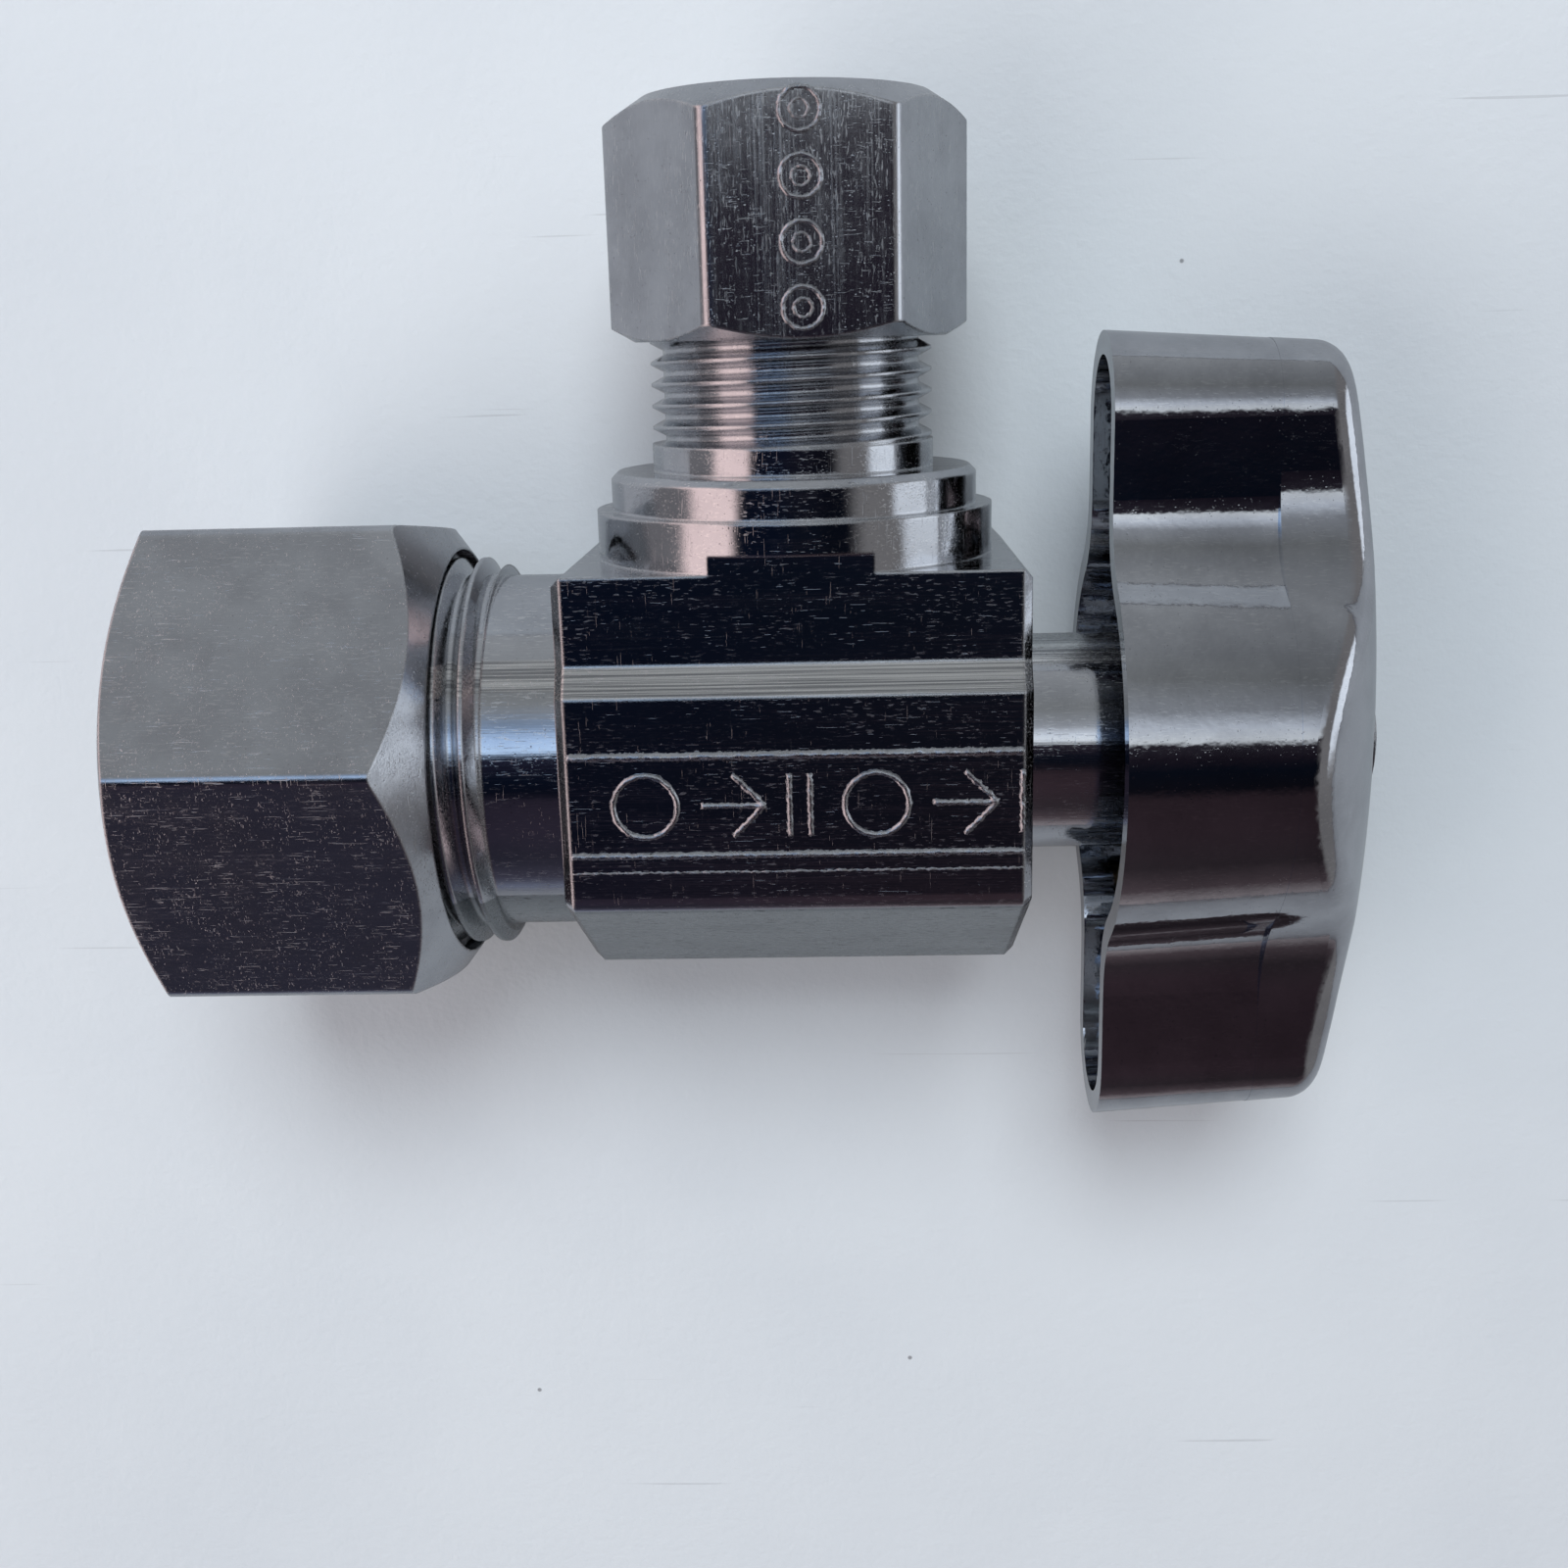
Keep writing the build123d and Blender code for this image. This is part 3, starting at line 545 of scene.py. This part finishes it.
def new_object(mesh, name, material):
    """Turns a bmesh into a scene object with one material."""
    data = bpy.data.meshes.new(name)
    mesh.to_mesh(data)
    mesh.free()
    data.materials.append(material)
    made = bpy.data.objects.new(name, data)
    bpy.context.scene.collection.objects.link(made)
    return made


def finish_marks(mesh, name, body):
    """Turns a mesh of marks into a piece that rides on a body."""
    bmesh.ops.recalc_face_normals(mesh, faces=mesh.faces)
    for face in mesh.faces:
        face.smooth = True
    piece = new_object(mesh, name, materials["raised marks"])
    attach(piece, body)


def arrow_and_bars(tail):
    """Strokes of one arrow and the two bars past it, as pairs of points about the marks' middle."""
    tip = tail + ARROW_LENGTH
    barb = tip - MARK_HALF_HEIGHT
    strokes = [((tail, 0), (tip, 0))]
    strokes += [((barb, side * MARK_HALF_HEIGHT), (tip, 0)) for side in (1, -1)]
    strokes += [((tip + gap, -MARK_HALF_HEIGHT), (tip + gap, MARK_HALF_HEIGHT)) for gap in ARROW_TO_BARS]
    return strokes


def make_side_marks():
    """Rough rolled lines along the bar's flat, with rings, arrows and bars between them."""
    mesh = bmesh.new()
    left = outlet_x - LINE_HALF_LENGTH
    right = outlet_x + LINE_HALF_LENGTH
    for line_y, width, height in (UPPER_LINE, LOWER_LINE, THIN_LINE):
        rib(mesh, (left, line_y, body_top), (right, line_y, body_top), width, height)
    middle_y = (UPPER_LINE[0] + LOWER_LINE[0]) / 2
    for repeat in REPEAT_PLACES:
        ring_x = outlet_x + repeat * MARK_REPEAT
        ring(mesh, (ring_x, middle_y, body_top), MARK_HALF_HEIGHT, MARK_STROKE[0])
        for (first_x, first_y), (last_x, last_y) in arrow_and_bars(ring_x + RING_TO_ARROW):
            if max(first_x, last_x) < right:
                rib(mesh, (first_x, middle_y + first_y, body_top),
                    (last_x, middle_y + last_y, body_top), *MARK_STROKE)
    finish_marks(mesh, "side_marks", "valve")


def make_nut_marks():
    """A row of small double rings up the outlet nut's front flat."""
    mesh = bmesh.new()
    for place in NUT_MARK_PLACES:
        middle = (0, outlet_nut_middle + place * NUT_MARK_SPACING, NUT_ACROSS_FLATS / 2)
        for radius, stroke in NUT_MARK_RINGS:
            ring(mesh, middle, radius, stroke)
    onto_flat = Matrix.Translation((outlet_x, 0, 0)) @ Matrix.Rotation(NUT_TURN, 4, "Y")
    bmesh.ops.transform(mesh, verts=mesh.verts, matrix=onto_flat)
    finish_marks(mesh, "nut_marks", "outlet_nut")


noise.seed_set(WEAR_SEED)
make_side_marks()
make_nut_marks()

# ------------------------------------------------------------------ table
TABLE_HALF_SIZE = 1.5
TABLE = (0.60, 0.645, 0.675)
TABLE_STAIN = (0.55, 0.595, 0.63)
TABLE_DIRT = (0.12, 0.12, 0.13)
# Painted shade on the table where the plating mirrors it, for the shadow of a person bending over it
TABLE_MIRRORED_SHADE = (0.05, 0.055, 0.06)
MIRRORED_SHADE_AMOUNT = 0.45
HAIR_COVER = 0.2
CRUMB_COVER = 0.7
TABLE_GRAIN_DEPTH = 0.04


def table_finish():
    """Pale table with faint stains, hairs and crumbs.

    Seen in the plating the table is darker with painted shade, standing for the shadow of a person
    bending over it.
    """
    table = Finish("pale table", TABLE, 0.0, 0.5)
    stain = table.span(table.noise(table.mm, 0.02, detail=5.0, rough=0.6), 0.3, 0.75)
    shade = table.mix(stain, solid(TABLE), solid(TABLE_STAIN))
    hair_vector = table.placed(table.mm, (0.05, 2.2, 2.2), (0, 0, 17))
    hairs = table.noise(hair_vector, 1.0, detail=1.0, rough=0.4)
    shade = table.mix(table.span(hairs, 0.775, 0.80, to_high=HAIR_COVER), shade, solid(TABLE_DIRT))
    crumbs = table.span(table.cells(table.mm, 0.11), 0.012, 0.02, to_low=1.0, to_high=0.0)
    shade = table.mix(table.times(crumbs, CRUMB_COVER), shade, solid(TABLE_DIRT))
    # Painted shade: the table turns darker where the plating mirrors it
    reflected_shade_mask = table.add("ShaderNodeLightPath").outputs["Is Glossy Ray"]
    shade = table.mix(table.times(reflected_shade_mask, MIRRORED_SHADE_AMOUNT), shade, solid(TABLE_MIRRORED_SHADE))
    grain = table.noise(table.mm, 1.6, detail=3.0, rough=0.6)
    return table.done(shade, None, table.relief(grain, TABLE_GRAIN_DEPTH))


def make_table():
    mesh = bmesh.new()
    bmesh.ops.create_grid(mesh, x_segments=1, y_segments=1, size=TABLE_HALF_SIZE)
    bmesh.ops.translate(mesh, verts=mesh.verts, vec=(0, 0, table_height))
    new_object(mesh, "floor", table_finish())


make_table()

# ------------------------------------------------------------------ room and lamps
# Colours round the room, by the angle in degrees from straight up towards the outlet's side
ROOM_COLOURS = [
    (-90, (0.26, 0.23, 0.24)), (-80, (0.08, 0.06, 0.068)), (-64, (0.034, 0.026, 0.031)),
    (-40, (0.040, 0.026, 0.033)), (-22, (0.034, 0.022, 0.028)), (-16, (0.006, 0.006, 0.010)),
    (-6, (0.004, 0.006, 0.012)), (1, (0.014, 0.011, 0.018)), (8, (0.030, 0.026, 0.036)),
    (10.5, (0.92, 0.97, 1.0)), (18, (0.76, 0.82, 0.90)), (27, (0.34, 0.36, 0.39)),
    (45, (0.22, 0.23, 0.235)), (62, (0.25, 0.262, 0.275)), (90, (0.33, 0.345, 0.36)),
]
NO_TINT = (1, 1, 1)
BLUE_TINT = (0.66, 0.84, 1.1)
GREY_TINT = (0.66, 0.66, 0.67)
HANDLE_SIDE_WALL = (0.17, 0.165, 0.168)
INLET_SIDE_WALL = (0.16, 0.155, 0.165)
WARM_LIGHT = (0.95, 0.74, 0.72)
WINDOW_LIGHT = (0.86, 0.92, 1.0)
ROOM_STRENGTH = 1.35


def room_ramp(nodes, tilt):
    """The room's colour by its angle above the valve."""
    ramp = nodes.add("ShaderNodeValToRGB")
    elements = ramp.color_ramp.elements
    while len(elements) < len(ROOM_COLOURS):
        elements.new(0.5)
    for element, (angle, colour) in zip(elements, ROOM_COLOURS):
        element.position = (angle + 90) / 180
        element.color = solid(colour)
    half_turn = nodes.add("ShaderNodeMapRange")
    nodes.join(tilt, half_turn.inputs["Value"])
    half_turn.inputs["From Min"].default_value = -math.pi / 2
    half_turn.inputs["From Max"].default_value = math.pi / 2
    nodes.join(half_turn.outputs["Result"], ramp.inputs["Fac"])
    return ramp.outputs["Color"]


def build_room():
    """A dim room with a bright window band on the outlet's side and a window past the handle."""
    world = bpy.data.worlds.new("room")
    bpy.context.scene.world = world
    world.use_nodes = True
    world.node_tree.nodes.clear()
    nodes = Nodes(world.node_tree)
    parts = nodes.add("ShaderNodeSeparateXYZ")
    nodes.join(nodes.add("ShaderNodeTexCoord").outputs["Generated"], parts.inputs["Vector"])
    across, along, up = parts.outputs
    tilt = nodes.math("ARCTAN2", along, up)
    blue = nodes.times(nodes.span(across, 0.1, -0.2), nodes.span(tilt, 0.7, 0.45))
    tint = nodes.mix(blue, solid(NO_TINT), solid(BLUE_TINT))
    tint = nodes.mix(nodes.span(across, 0.15, 0.4), tint, solid(GREY_TINT))
    room = nodes.mix(1.0, room_ramp(nodes, tilt), tint, "MULTIPLY")
    room = nodes.mix(nodes.span(across, 0.5, 0.7), room, solid(HANDLE_SIDE_WALL))
    room = nodes.mix(nodes.span(across, -0.45, -0.7), room, solid(INLET_SIDE_WALL))
    warm = nodes.times(nodes.span(across, -0.50, -0.62), nodes.span(across, -0.94, -0.86))
    room = nodes.mix(warm, room, solid(WARM_LIGHT))
    window = nodes.times(nodes.span(across, 0.88, 0.93), nodes.span(along, -0.25, -0.02))
    room = nodes.mix(window, room, solid(WINDOW_LIGHT))
    background = nodes.add("ShaderNodeBackground")
    background.inputs["Strength"].default_value = ROOM_STRENGTH
    nodes.join(room, background.inputs["Color"])
    output = nodes.add("ShaderNodeOutputWorld")
    nodes.join(background.outputs["Background"], output.inputs["Surface"])


def soft_lamp(name, place, size, power, colour):
    """A round area lamp that points at the valve and doesn't show in the plating."""
    data = bpy.data.lights.new(name, "AREA")
    data.shape = "DISK"
    data.size = size
    data.energy = power
    data.color = colour
    lamp = bpy.data.objects.new(name, data)
    lamp.location = place
    lamp.rotation_euler = (-Vector(place)).to_track_quat("-Z", "Y").to_euler()
    lamp.visible_glossy = False
    lamp.visible_camera = False
    bpy.context.scene.collection.objects.link(lamp)


build_room()
soft_lamp("key", place=(0.02, 0.42, 0.55), size=0.34, power=3.9, colour=(0.93, 0.97, 1.0))
soft_lamp("fill", place=(-0.45, -0.25, 0.6), size=0.6, power=2.3, colour=(1.0, 0.98, 0.97))

# ------------------------------------------------------------------ camera
VIEW_AIM = Vector((outlet_x - 0.9 * MM, -2.2 * MM, 0))
VIEW_DISTANCE = 95.8 * MM
VIEW_LEAN = math.radians(14.25)
VIEW_SWING = math.radians(2.06)
VIEW_ROLL = math.radians(-1.46)
VIEW_LENS = 40.66
SENSOR_WIDTH = 36.0
NEAREST_SEEN = 5 * MM


def place_camera():
    """Looks down on the valve, leaning towards the outlet's side."""
    away = Vector((math.sin(VIEW_SWING) * math.cos(VIEW_LEAN), math.sin(VIEW_LEAN),
                   math.cos(VIEW_SWING) * math.cos(VIEW_LEAN)))
    level = Vector((0, 1, 0)).cross(away).normalized()
    rightward = Matrix.Rotation(VIEW_ROLL, 3, away) @ level
    upward = away.cross(rightward)
    data = bpy.data.cameras.new("camera")
    data.lens = VIEW_LENS
    data.sensor_width = SENSOR_WIDTH
    data.clip_start = NEAREST_SEEN
    camera = bpy.data.objects.new("camera", data)
    basis = Matrix((rightward, upward, away)).transposed().to_4x4()
    camera.matrix_world = Matrix.Translation(VIEW_AIM + away * VIEW_DISTANCE) @ basis
    bpy.context.scene.collection.objects.link(camera)
    bpy.context.scene.camera = camera


place_camera()
bpy.context.scene.view_settings.view_transform = "Standard"
